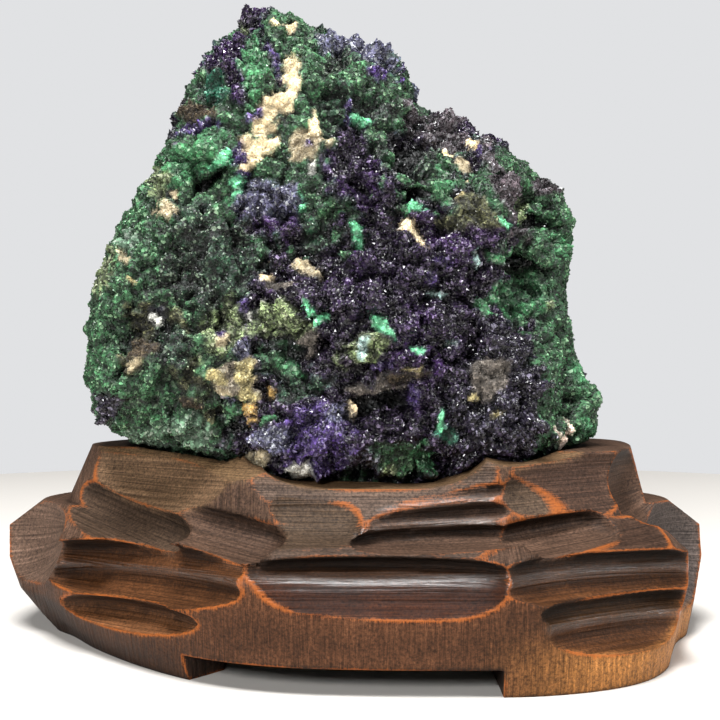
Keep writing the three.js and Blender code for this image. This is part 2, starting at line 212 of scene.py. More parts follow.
TIER_STROKES = [
    (-56, -27.6, 31.6, 23, 10, 5.4, -37, 11, 8), (-31, -43.4, 30.6, 17, 9.6, 4.6, -24, 9, 8),
    (-9, -51, 35.4, 12.5, 13, 8, -4, 0, 6), (19.5, -45.6, 36.8, 17.5, 8, 2.3, 3, -6, 3),
    (19, -46, 32.7, 18, 8.4, 2.5, 3, -4, 3), (18, -46.4, 28.6, 19, 8.4, 2.2, 3, -2, 3),
    (43.5, -43, 37.5, 13.5, 9.8, 7.2, 24, -2, 6),
    (44.5, -42.4, 29.6, 14.5, 9.5, 3.6, 24, -5, 8), (69.5, -20.5, 37, 14, 11, 11, 60, 0, 4),
    (-40, 36.5, 35, 20, 7.5, 6.5, 16, 0, 4), (0, 43, 33, 19, 8, 6.5, 0, 0, 4),
    (36, 39.5, 36, 18, 7.5, 8, -12, 0, 4), (60, 31, 35, 15, 8, 8, -40, 0, 4),
    (-62.5, 24, 37, 14, 7, 8, 48, 0, 4)]
TOP_STROKES = [
    (3, -34, 54, 28, 30, 16.5, 0, 0, 4), (-46, -36, 51.5, 46, 22, 14, -31, 2, 3),
    (42, -40, 53, 22, 24, 11, 22, 0, 3), (4, 44, 52, 34, 22, 11, 0, 0, 3),
    (-2, 0, 52, 60, 33, 13.6, 0, 0, 2)]
STROKE_GROUPS = [PLATE_STROKES, EAR_STROKES, SWEEP_STROKES, TIER_STROKES, TOP_STROKES]
STROKES = sum(STROKE_GROUPS, [])
PLATE_WALL, EAR, SWEEP, TIER, TOP, OUTER_WALL, UNDERSIDE, SEAT = range(8)  # what left each bit of surface
# Strokes of one pass, which meet in a soft roll: the later one, the earlier one, the roll's width, and how
# many widths its shine reaches.
ROLLS = [
    (1, 0, 3.4, 0.5), (3, 2, 3.0, 0.6), (6, 5, 3.0, 0.6), (8, 7, 2.6, 0.6), (26, 25, 2.2, 0.85),
    (27, 26, 2.2, 0.85)]
FOOT_HEIGHT = 5.5
PLATE_TOP = 24.5
# What is taken out between the feet, as corners seen from above. The last one slants the left foot's end.
FOOT_CUTS = [
    [(-27.5, -70), (28.5, -70), (28.5, 70), (-27.5, 70)], [(-46, -26), (46, -26), (46, 26), (-46, 26)],
    [(-56, -70), (-27.4, -70), (-27.4, -38)]]
SEAT_GAP = 0.3  # air under the stone
SEAT_CLEARANCE = 1.0  # air beside it
SEAT_STEEPNESS = 0.8  # keeps heights over the seat near to distances, where it is steep
STAND_MESH = 0.92  # width of one face
STAND_MARGIN = 1.6  # room round the solid for the field that the surface is found in
FAR_AWAY = 99.0

stone_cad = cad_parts["malachite_stone"]
stand_low, stand_high = [np.array(v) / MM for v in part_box("carved_stand")]
stone_low, stone_high = [np.array(v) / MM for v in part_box("malachite_stone")]


def rounded(outline, per_side=5):
    """A closed outline with a smooth curve run through its points."""
    points = np.array(outline, float)
    before, after, beyond = (np.roll(points, k, 0) for k in (1, -1, -2))
    sides = []
    for t in np.arange(per_side) / per_side:
        start = (after - before) / 2
        end = (beyond - points) / 2
        bend = 2 * points - 2 * after + start + end
        swing = 3 * after - 3 * points - 2 * start - end
        sides.append(bend * t ** 3 + swing * t ** 2 + start * t + points)
    return np.stack(sides, 1).reshape(-1, 2)


def outline_map(outline, step=0.5, margin=16):
    """Distance to a closed outline, negative inside, on a fine flat grid, with its corner and step."""
    low = outline.min(0) - margin
    spans = [np.arange(a, b, step) for a, b in zip(low, outline.max(0) + margin)]
    x, y = np.meshgrid(*spans, indexing="ij")
    nearest = np.full(x.shape, 1e9)
    inside = np.zeros(x.shape, bool)
    for (ax, ay), (bx, by) in zip(outline, np.roll(outline, -1, 0)):
        ex, ey = bx - ax, by - ay
        t = np.clip(((x - ax) * ex + (y - ay) * ey) / (ex * ex + ey * ey), 0, 1)
        nearest = np.minimum(nearest, (x - ax - t * ex) ** 2 + (y - ay - t * ey) ** 2)
        if ey:
            inside ^= ((ay > y) != (by > y)) & (x < ax + (y - ay) * ex / ey)
    return np.sqrt(nearest) * np.where(inside, -1, 1), low, step


def looked_up(grid, low, step, x, y):
    """The value of a flat grid at each place, blended from the four points round it."""
    fx, fy = (np.clip((v - a) / step, 0, n - 1.001) for v, a, n in zip((x, y), low, grid.shape))
    i, j = fx.astype(int), fy.astype(int)
    a, b = fx - i, fy - j
    near = grid[i, j] * (1 - a) + grid[i + 1, j] * a
    far = grid[i, j + 1] * (1 - a) + grid[i + 1, j + 1] * a
    return near * (1 - b) + far * b


plate_map, tier_map = (outline_map(rounded(outline)) for outline in (PLATE_OUTLINE, TIER_OUTLINE))


def loft_distance(flat_map, levels, x, y, z):
    """Distance to a block whose outline grows and shrinks with height."""
    table_of_levels = np.array(levels, float).T
    left, right, front, back = (np.interp(z, table_of_levels[0], row) for row in table_of_levels[1:])
    along_x = np.where(x < 0, left, right)
    along_y = np.where(y < 0, front, back)
    wall = looked_up(*flat_map, x / along_x, y / along_y) * (along_x + along_y) / 2
    return np.maximum(wall, np.maximum(table_of_levels[0, 0] - z, z - table_of_levels[0, -1]))


def in_stroke(stroke, x, y, z):
    """A place in a stroke's own directions: along it, into the wood, and up."""
    cx, cy, cz, turned, tilted = *stroke[:3], math.radians(stroke[6]), math.radians(stroke[7])
    flat = (x - cx) * math.cos(turned) + (y - cy) * math.sin(turned)
    into = (y - cy) * math.cos(turned) - (x - cx) * math.sin(turned)
    along = flat * math.cos(tilted) - (z - cz) * math.sin(tilted)
    up = flat * math.sin(tilted) + (z - cz) * math.cos(tilted)
    return along, into, up


# The seat follows the stone's underside, which rays from below find on a flat grid.
SEAT_STEP = 1.0
SEAT_MARGIN = 3
stone_tree = BVHTree.FromPolygons(
    [v.co / MM for v in stone_cad.data.vertices], [p.vertices for p in stone_cad.data.polygons])
seat_low = stone_low[:2] - SEAT_MARGIN
seat_spans = [np.arange(a, b + SEAT_MARGIN, SEAT_STEP) for a, b in zip(seat_low, stone_high)]
seat_map = np.full([len(span) for span in seat_spans], FAR_AWAY)
for i, x in enumerate(seat_spans[0]):
    for j, y in enumerate(seat_spans[1]):
        hit = stone_tree.ray_cast(Vector((x, y, 0)), Vector((0, 0, 1)))[0]
        if hit is not None:
            seat_map[i, j] = hit.z
beside = int(round(SEAT_CLEARANCE / SEAT_STEP))
seat_map = np.min([np.roll(np.roll(seat_map, i, 0), j, 1)
                   for i in range(-beside, beside + 1) for j in range(-beside, beside + 1)], 0) - SEAT_GAP


def cuts_of(x, y, z):
    """How deep each place is inside every stroke, one column for each stroke."""
    columns = []
    for stroke in STROKES:
        column = np.full(len(x), -FAR_AWAY)
        reach = max(stroke[3:6]) + 3
        near = np.flatnonzero((abs(x - stroke[0]) < reach) & (abs(y - stroke[1]) < reach)
                              & (abs(z - stroke[2]) < reach))
        place = np.stack(in_stroke(stroke, x[near], y[near], z[near]), 1)
        half, power = np.array(stroke[3:6]), np.array((stroke[8], 2, 2))
        share = abs(place / half)
        steepness = np.sqrt(((power * share ** (power - 1) / half) ** 2).sum(1)) + 1e-3
        column[near] = (1 - (share ** power).sum(1)) / steepness
        columns.append(column)
    columns = np.stack(columns, 1)
    for later, earlier, width, _ in ROLLS:
        near = np.clip(1 - abs(columns[:, later] - columns[:, earlier]) / width, 0, 1)
        columns[:, [later, earlier]] += (near ** 2 * width / 4)[:, None]
    return columns


def beside_corners(corners, x, y):
    """Distance to an upright prism whose corners run anticlockwise, negative inside."""
    sides = []
    for (ax, ay), (bx, by) in zip(corners, corners[1:] + corners[:1]):
        sides.append(((x - ax) * (by - ay) - (y - ay) * (bx - ax)) / math.hypot(bx - ax, by - ay))
    return np.max(sides, 0)


def surfaces_of(points):
    """Distance to every surface that bounds the wood, one column each: the strokes in the order of
    their lists, then the outer wall, the cuts between the feet, and the seat."""
    x, y, z = np.asarray(points, float).T
    block = np.minimum(loft_distance(plate_map, PLATE_LEVELS, x, y, z),
                       loft_distance(tier_map, TIER_LEVELS, x, y, z))
    feet = np.max([-np.maximum(beside_corners(cut, x, y), z - FOOT_HEIGHT) for cut in FOOT_CUTS], 0)
    seat = (z - looked_up(seat_map, seat_low, SEAT_STEP, x, y)) * SEAT_STEEPNESS
    return np.c_[cuts_of(x, y, z), block, feet, seat]


def wood_distance(points):
    """Distance to the stand's surface, negative in the wood."""
    return surfaces_of(points).max(1)


def gathered(rows, places, count):
    """Rows summed by the place that each one belongs to."""
    return np.stack([np.bincount(places, column, count) for column in rows.T], 1)


def skin_of(distance, low, high, step, slack=0.06):
    """Points and four-sided faces where a distance is 0. Each point is put where the planes of the
    surface round it meet, so a ridge keeps its edge. More slack draws it back to their middle."""
    axes = [np.arange(a, b + step, step) for a, b in zip(low, high)]
    shape = [len(a) for a in axes]
    field = distance(np.stack(np.meshgrid(*axes, indexing="ij"), -1).reshape(-1, 3)).reshape(shape)
    inside = field < 0
    unit = np.eye(3, dtype=int)
    places, normals, rings = [], [], []
    for axis in range(3):
        b, c = (axis + 1) % 3, (axis + 2) % 3
        # The grid's edges that cross the surface, and where each one meets it.
        edge = np.argwhere(np.diff(inside, axis=axis))
        edge = edge[(edge[:, b] > 0) & (edge[:, c] > 0)]
        near, far = field[tuple(edge.T)], field[tuple((edge + unit[axis]).T)]
        start = np.stack([axes[k][edge[:, k]] for k in range(3)], 1)
        way = unit[axis] * step
        t_low, t_high, d_low, d_high = np.zeros(len(edge)), np.ones(len(edge)), near, far
        for _ in range(4):
            t = t_low + (t_high - t_low) * np.clip(d_low / (d_low - d_high), 0.05, 0.95)
            d = distance(start + t[:, None] * way)
            same = (d < 0) == (d_low < 0)
            t_low, d_low = np.where(same, t, t_low), np.where(same, d, d_low)
            t_high, d_high = np.where(same, t_high, t), np.where(same, d_high, d)
        place = start + (t_low + (t_high - t_low) * d_low / (d_low - d_high))[:, None] * way
        nudges = unit * 0.02
        normal = np.stack([distance(place + nudge) - distance(place - nudge) for nudge in nudges], 1)
        # The four cells round an edge are the corners of its face.
        ring = np.stack([
            np.ravel_multi_index(tuple((edge - down_b * unit[b] - down_c * unit[c]).T), shape)
            for down_b, down_c in ((1, 1), (0, 1), (0, 0), (1, 0))], 1)
        ring[near > 0] = ring[near > 0][:, ::-1]
        places.append(place)
        normals.append(normal / np.maximum(np.linalg.norm(normal, axis=1), 1e-9)[:, None])
        rings.append(ring)
    place, normal, ring = (np.concatenate(part) for part in (places, normals, rings))
    cells, corner = np.unique(ring, return_inverse=True)
    corner = corner.reshape(ring.shape)
    who, which = corner.ravel(), np.repeat(np.arange(len(place)), 4)
    count = np.bincount(who, minlength=len(cells))

    def total(rows):
        return gathered(rows[which], who, len(cells))

    middle = total(place) / count[:, None]
    squares = total((normal[:, :, None] * normal[:, None, :]).reshape(-1, 9)).reshape(-1, 3, 3)
    pull = total(normal * (normal * place).sum(1)[:, None])
    pull -= np.einsum("nij,nj->ni", squares, middle)
    moved = np.linalg.solve(squares + np.eye(3) * slack * count[:, None, None], pull[:, :, None])[:, :, 0]
    centre = np.stack([axes[k][i] for k, i in enumerate(np.unravel_index(cells, shape))], 1) + step / 2
    return np.clip(middle + moved, centre - 0.55 * step, centre + 0.55 * step), corner


def hash_value(ix, iy, iz, seed):
    """A number from 0 to 1 that depends only on the lattice point."""
    wide = np.uint64(0xffffffff)
    h = np.uint64((seed * 974634777) & 0xffffffff)
    for part, factor in ((ix, 374761393), (iy, 668265263), (iz, 1274126177)):
        h = h + ((part.astype(np.int64).astype(np.uint64) * np.uint64(factor)) & wide)
    h &= wide
    h = ((h ^ (h >> np.uint64(13))) * np.uint64(1103515245)) & wide
    return (h ^ (h >> np.uint64(16))).astype(float) / 4294967296


def noise(points, width, seed):
    """Smooth noise from -1 to 1, with lumps about one width across."""
    scaled = np.asarray(points, float) / width
    cell = np.floor(scaled)
    part = scaled - cell
    part = part * part * (3 - 2 * part)
    cell = cell.astype(np.int64)
    value = np.zeros(len(scaled))
    for step in np.ndindex(2, 2, 2):
        value += np.prod(np.where(step, part, 1 - part), 1) * hash_value(*(cell + step).T, seed)
    return 2 * value - 1


def waves(points, *layers):
    """Noise in layers, each with its height, width and seed."""
    return sum(height * noise(points, width, seed) for height, width, seed in layers)


def crosses_of(points, faces):
    """An arrow straight out of each face, as long as twice the face's area."""
    a, b, c, d = np.moveaxis(points[faces], 1, 0)
    return np.cross(c - a, d - b)


def normals_of(points, faces):
    """The direction that the surface faces at each point."""
    summed = gathered(np.tile(crosses_of(points, faces), (4, 1)), faces.T.ravel(), len(points))
    return summed / np.maximum(np.linalg.norm(summed, axis=1), 1e-9)[:, None]


def edges_of(faces):
    """Each pair of points that shares a side of a face, once."""
    pairs = np.concatenate([faces[:, [k, (k + 1) % 4]] for k in range(4)])
    return np.unique(np.sort(pairs, 1), axis=0)


def averaged(values, edges, rounds):
    """Each point's value mixed with its neighbours', over and over."""
    values = np.array(values, float)
    flat = values.reshape(len(values), -1)
    here, there = np.r_[edges, edges[:, ::-1]].T
    count = np.maximum(np.bincount(here, minlength=len(flat)), 1)[:, None]
    for _ in range(rounds):
        flat = (flat + gathered(flat[there], here, len(flat)) / count) / 2
    return flat.reshape(values.shape)


def standing_out(points, normals, edges, rounds):
    """How far each point stands out of the mean of what is round it, wider with more rounds."""
    return ((points - averaged(points, edges, rounds)) * normals).sum(1)


def mix(a, b, share):
    """Between a, at share 0, and b, at share 1."""
    return a + (b - a) * share


def ramp(value, start, end):
    """0 up to start and 1 beyond end, with an easy change between. Either of the two may be the greater."""
    t = np.clip((value - start) / (end - start), 0, 1)
    return t * t * (3 - 2 * t)


wood_points, wood_faces = skin_of(
    wood_distance, stand_low - STAND_MARGIN, stand_high + STAND_MARGIN, STAND_MESH)
wood_points[:, 2] = np.maximum(wood_points[:, 2], 0)
wood_normals = normals_of(wood_points, wood_faces)
wood_edges = edges_of(wood_faces)
surfaces = surfaces_of(wood_points)
wood_stroke = surfaces.argmax(1)
MAKERS = np.repeat(range(8), [*map(len, STROKE_GROUPS), 1, 1, 1])
wood_maker = MAKERS[wood_stroke]

# Along and across each stroke, in millimetres, so that the tool marks can follow it. A face takes the
# directions of one stroke alone, so they are kept for each corner of each face.
face_stroke = surfaces_of(wood_points[wood_faces].mean(1)).argmax(1)
corners = wood_points[wood_faces]
grain = np.stack([corners[..., 2] * 4, corners[..., 0] * 1.6, np.zeros(wood_faces.shape)], -1)
for number, stroke in enumerate(STROKES):
    cut_here = face_stroke == number
    along, into, up = in_stroke(stroke, *np.moveaxis(corners[cut_here], -1, 0))
    swing = np.arctan2(up / stroke[5], into / stroke[4]) * (stroke[4] + stroke[5]) / 2
    grain[cut_here] = np.stack([along, swing, np.full(swing.shape, 40.0 * number)], -1)

# The finish is rubbed off along a ridge, which is where two cuts are equally near, but a soft roll
# keeps its stain.
rise = standing_out(wood_points, wood_normals, wood_edges, 6) / STAND_MESH
pass_of = np.arange(surfaces.shape[1])
for later, earlier, _, _ in ROLLS:
    pass_of[later] = pass_of[earlier]
others = np.where(pass_of[None] == pass_of[wood_stroke][:, None], -FAR_AWAY, surfaces)
gap_to_next = surfaces.max(1) - others.max(1)
RUBBED = np.array([1.0, 0.8, 1.0, 0.8, 0.7, 1.0, 0.8, 0.2])  # what each cut has lost along its ridges
RIDGE_WIDTH = 0.9  # mm from the ridge to where the wood is no longer bare
WORN_AND_HIGHLIT_WIDTH = 4.5  # and to where the stain is whole
rub = RUBBED[MAKERS[others.argmax(1)]] * RUBBED[wood_maker] * (0.9 + waves(wood_points, (0.9, 9, 35)))
rub = np.clip(rub, 0, 1)
bare = ramp(gap_to_next, RIDGE_WIDTH, 0.05) * rub
# Painted shade: hollows, which sit in from what is round them, are painted darker.
painted_hollow_shade = ramp(rise, -0.05, -0.35)
# Each roll stands proud, so its wax is burnished until it shines.
PLAIN_GLOSS = 0.12
gloss = np.full(len(wood_points), PLAIN_GLOSS)
for later, earlier, width, reach in ROLLS:
    from_roll = (abs(surfaces[:, later]) + abs(surfaces[:, earlier])) / width
    gloss = np.maximum(gloss, ramp(from_roll, reach, 0.3 * reach))
gloss = averaged(gloss, wood_edges, 1)

# Colours of the stained surface, by what cut it. The seat is near black as painted shade under the stone.
STAIN_AND_SEAT_SHADE = {
    PLATE_WALL: "#442916", EAR: "#4f4138", SWEEP: "#443025", TIER: "#47352a", TOP: "#57432f",
    OUTER_WALL: "#482d1c", UNDERSIDE: "#241812", SEAT: "#18110d"}
# Strokes given their own colour, by their number in the lists: the groove over the lens in the middle of the
# front and its broad floor, the left foot's low cut, two grooves at the right, both ears, the three sweeps
# of the front, three cuts in the tier, and the left of the top. The groove over the lens and the upper
# groove at the right are darkened as painted shade, the middle sweep of the front is greyed as a painted
# sheen, and the left sweep and the left of the top are lightened as painted light where the stone shades
# them.
OWN_STAIN_AND_PAINTED_LIGHT = {
    0: "#2a190d", 1: "#2b1408", 4: "#5a3a23", 5: "#2f1d10", 7: "#33200f", 14: "#57453a", 15: "#423a36",
    16: "#493b32", 17: "#5e4936", 18: "#38281f", 22: "#392c22", 24: "#403226", 28: "#42352a", 37: "#5f4a34"}
DUSTY_FOOT = "#9e6a37"  # the front of the right-hand foot, where the stain is thin
DUSTY_X, DUSTY_Z = (20, 52), (16, 4)  # from where it starts to where it is whole
BARE_WOOD = "#a55a26"
stain = np.array([colour(STAIN_AND_SEAT_SHADE[k])[:3] for k in range(8)])[wood_maker]
uncut_tier = (wood_maker == OUTER_WALL) & (wood_points[:, 2] > PLATE_TOP)
stain[uncut_tier] = colour(STAIN_AND_SEAT_SHADE[TIER])[:3]
for number, hex_code in OWN_STAIN_AND_PAINTED_LIGHT.items():
    stain[wood_stroke == number] = colour(hex_code)[:3]
stain = averaged(stain, wood_edges, 2)
front_wall = (wood_maker == OUTER_WALL) & (wood_points[:, 1] < -10)
dusty = front_wall * ramp(wood_points[:, 0], *DUSTY_X) * ramp(wood_points[:, 2], *DUSTY_Z)
dusty = averaged(dusty, wood_edges, 4)
stain = mix(stain, np.array(colour(DUSTY_FOOT)[:3]), dusty[:, None] * 0.85)
worn_and_highlit = ramp(gap_to_next, WORN_AND_HIGHLIT_WIDTH, 0.4) * rub  # handling has thinned the stain beside each ridge, and the lighter band is also a painted highlight
painted_overhang_shade = averaged(ramp(wood_normals[:, 2], -0.05, -0.7), wood_edges, 1)  # painted shade: darker under each overhang
cloudy = waves(wood_points, (0.16, 14, 33), (0.10, 4, 34))
# The stain is lightened beside the ridges by wear and painted highlight, and darkened by painted shade in
# hollows and under overhangs.
stain *= ((1 + 0.45 * worn_and_highlit) * (1 - 0.6 * painted_hollow_shade) * (1 - 0.82 * painted_overhang_shade) * (1 + cloudy))[:, None]

stained_wood, tree = new_material("stained_waxed_hardwood")
# Stain takes unevenly in end grain and in the scratches of the gouge, and wax gives a soft shine.
# This colour carries the stain with its painted light and shade.
stain_colour = add(tree, "Attribute", attribute_name="stain")
bare_share = add(tree, "Attribute", attribute_name="bare").outputs["Fac"]
grain_place = add(tree, "Attribute", attribute_name="grain").outputs["Vector"]
place = add(tree, "TexCoord").outputs["Object"]
# Scratches 0.35 mm apart that run on for 17 mm, and ribs 1.1 mm apart that run on for 40.
stretched = add(tree, "VectorMath", {0: grain_place, 1: (0.06, 2.8, 1.0)}, operation="MULTIPLY")
scratches = add(tree, "TexNoise", {"Vector": stretched, "Scale": 1.0, "Detail": 3.0, "Roughness": 0.6})
ribs_place = add(tree, "VectorMath", {0: grain_place, 1: (0.025, 0.9, 1.0)}, operation="MULTIPLY")
ribs = add(tree, "TexNoise", {"Vector": ribs_place, "Scale": 1.0, "Detail": 1.0})
# Fuzz and open pores 0.6 mm apart.
pores = add(tree, "TexNoise", {"Vector": place, "Scale": 1 / (0.6 * MM), "Detail": 3.0, "Roughness": 0.75})
scratch_tone, pore_tone, rib_tone = (
    add(tree, "MapRange", {"Value": value, 1: 0.3, 2: 0.7, 3: darkest, 4: lightest})
    for value, darkest, lightest in ((scratches, 0.55, 1.5), (pores, 0.35, 1.75), (ribs, 0.75, 1.25)))
streaks = add(tree, "Math", {0: scratch_tone, 1: rib_tone}, operation="MULTIPLY")
tone = add(tree, "Math", {0: streaks, 1: pore_tone}, operation="MULTIPLY")
toned = add(tree, "VectorMath", {0: stain_colour, "Scale": tone}, operation="SCALE")
rubbed = add(tree, "Math", {0: pores, 1: scratches}, operation="ADD")
rub_edge = add(tree, "Math", {0: rubbed, 1: 1.0}, operation="SUBTRACT")
bare_rough = add(tree, "Math", {0: rub_edge, 1: 1.2, 2: bare_share}, operation="MULTIPLY_ADD")
bare_mask = add(tree, "MapRange", {"Value": bare_rough, 1: 0.45, 2: 1.0, 3: 0.0, 4: 0.85})
base = add(tree, "Mix", {0: bare_mask, 6: toned, 7: colour(BARE_WOOD)}, data_type="RGBA")
gloss_share = add(tree, "Attribute", attribute_name="gloss").outputs["Fac"]
shine = add(tree, "MapRange", {"Value": gloss_share, 3: 0.62, 4: 0.35})
wax = add(tree, "MapRange", {"Value": gloss_share, 1: PLAIN_GLOSS, 3: 0.04, 4: 1.0})
depth = add(tree, "MapRange", {"Value": gloss_share, 3: 0.9, 4: 0.5})
scratch_bump = add(tree, "Bump", {"Height": scratches, "Distance": 0.22 * MM, "Strength": depth})
rib_bump = add(tree, "Bump", {"Height": ribs, "Distance": 0.5 * MM, "Strength": 0.8, "Normal": scratch_bump})
pore_bump = add(tree, "Bump", {"Height": pores, "Distance": 0.1 * MM, "Strength": 0.8, "Normal": rib_bump})
shader = add(tree, "BsdfPrincipled", {
    "Base Color": base.outputs[2], "Roughness": shine, "IOR": 1.23, "Normal": pore_bump,
    "Coat Weight": wax, "Coat Roughness": 0.3, "Coat IOR": 1.5, "Coat Normal": rib_bump})
add(tree, "OutputMaterial", {"Surface": shader})

stand = new_piece("carved_stand_wood", wood_points, wood_faces, stained_wood)
set_attributes(stand, stain=stain, bare=bare, gloss=gloss, grain=grain)
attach(stand, "root")
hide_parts("carved_stand")

# ---------------------------------------------------------------- the stone's body
# One natural lump in which azurite and malachite grew on a sandy matrix. Its main form is the solid's.
# Ledges, cracks, knobs and a rough grain are raised on it here, and each mineral is laid where it shows.

STONE_MESH = 0.76  # width of one face
SKIN_DEPTH = 0.45  # mm of the solid's surface that is crystals and hollows
CRACK_DEPTH = 2.1
LEDGE_HEIGHT = 1.7
KNOB_SIZE = 0.62  # a knob's radius, in widths between knobs
KNOBS = [(4.0, 90), (2.0, 96)]  # width and seed
SLABS = [(4.6, 130), (2.1, 140)]
FACET_SMOOTHING = 14  # rounds that take the solid's flat faces out
STONE_ROOM = 0.5  # how near the relief may come to the wood
DRAWN_BACK = 0.4  # how far inside the solid it goes where it would come nearer
MIDDLE_PLANE = (2.0, 0.03)  # y of the plane between front and back at the foot, and its lean per mm

# Each mineral: body colour, colour of its bright grains, gloss, how far it stands out in mm,
# knobbliness, how calm and even its grain is (below 0 where dark and bright grains stand side by side),
# and the family whose crystals grow on it.
AZURITE, MALACHITE, MATRIX = range(3)
MINERALS = {
    "azurite": ("#1e1627", "#8a7b98", 1.0, 0.0, 0.0, -0.1, AZURITE),
    "violet_black": ("#201c27", "#9892a7", 1.0, 0.3, 0.0, -0.1, AZURITE),
    "violet": ("#453565", "#b6a8d4", 1.0, 0.3, 0.0, 0.15, AZURITE),
    "purple": ("#2d1d3d", "#9a86af", 1.0, 0.2, 0.0, 0.1, AZURITE),
    "lilac": ("#595870", "#d6dae0", 0.9, 0.3, 0.0, 0.2, AZURITE),
    "brown_violet": ("#423a3e", "#9f9ca4", 0.7, 0.4, 0.0, 0.25, AZURITE),
    "black": ("#080a0a", "#4c504f", 0.5, -2.4, 0.0, 0.3, AZURITE),
    "green": ("#2e5235", "#99c196", 0.5, 0.0, 1.0, 0.15, MALACHITE),
    "green_dark": ("#162e1f", "#8bab8c", 0.5, -0.5, 0.5, -0.4, MALACHITE),
    "green_lit": ("#386d46", "#a7caa7", 0.5, 0.4, 0.6, 0.35, MALACHITE),
    "speckled": ("#15271b", "#a9c0a4", 0.6, 0.2, 0.3, -0.5, MALACHITE),
    "pale_green": ("#5c7a62", "#c6d3c4", 0.5, 0.4, 0.6, 0.35, MALACHITE),
    "grey_mint": ("#adcdc6", "#fcffff", 0.5, 0.5, 0.4, 0.4, MALACHITE),
    "mint": ("#74cf9a", "#cef3da", 0.4, 0.9, 0.5, 0.5, MALACHITE),
    "teal": ("#174d39", "#78b59b", 0.5, 0.2, 0.8, 0.4, MALACHITE),
    "moss": ("#718059", "#e3eac5", 0.3, 0.3, 0.4, 0.1, MALACHITE),
    "moss_brown": ("#43442f", "#9e9e74", 0.3, 0.4, 0.2, 0.2, MALACHITE),
    "cream": ("#fbe6bb", "#fff6dc", 0.0, 0.2, 0.0, 0.75, MATRIX),
    "tan": ("#b8a98a", "#e9e0c8", 0.0, 0.3, 0.0, 0.75, MATRIX),
    "ochre": ("#aa9d6f", "#d8d4ae", 0.0, 0.4, 0.0, 0.5, MATRIX),
    "ochre_grey": ("#6b6254", "#a69f8d", 0.1, 0.6, 0.0, 0.4, MATRIX),
    "orange": ("#a5854d", "#ccbb8d", 0.0, 0.3, 0.0, 0.5, MATRIX),
    "brown": ("#3b3227", "#83745a", 0.2, 0.5, 0.0, 0.4, MATRIX),
    "brown_grey": ("#5e5750", "#a1998f", 0.2, 0.5, 0.0, 0.4, MATRIX),
    "grey": ("#e6e5dc", "#fafaf6", 0.3, 0.5, 0.2, 0.5, MATRIX),
    "pink": ("#f3ddcc", "#fffff0", 0.1, 0.3, 0.0, 0.6, MATRIX),
}
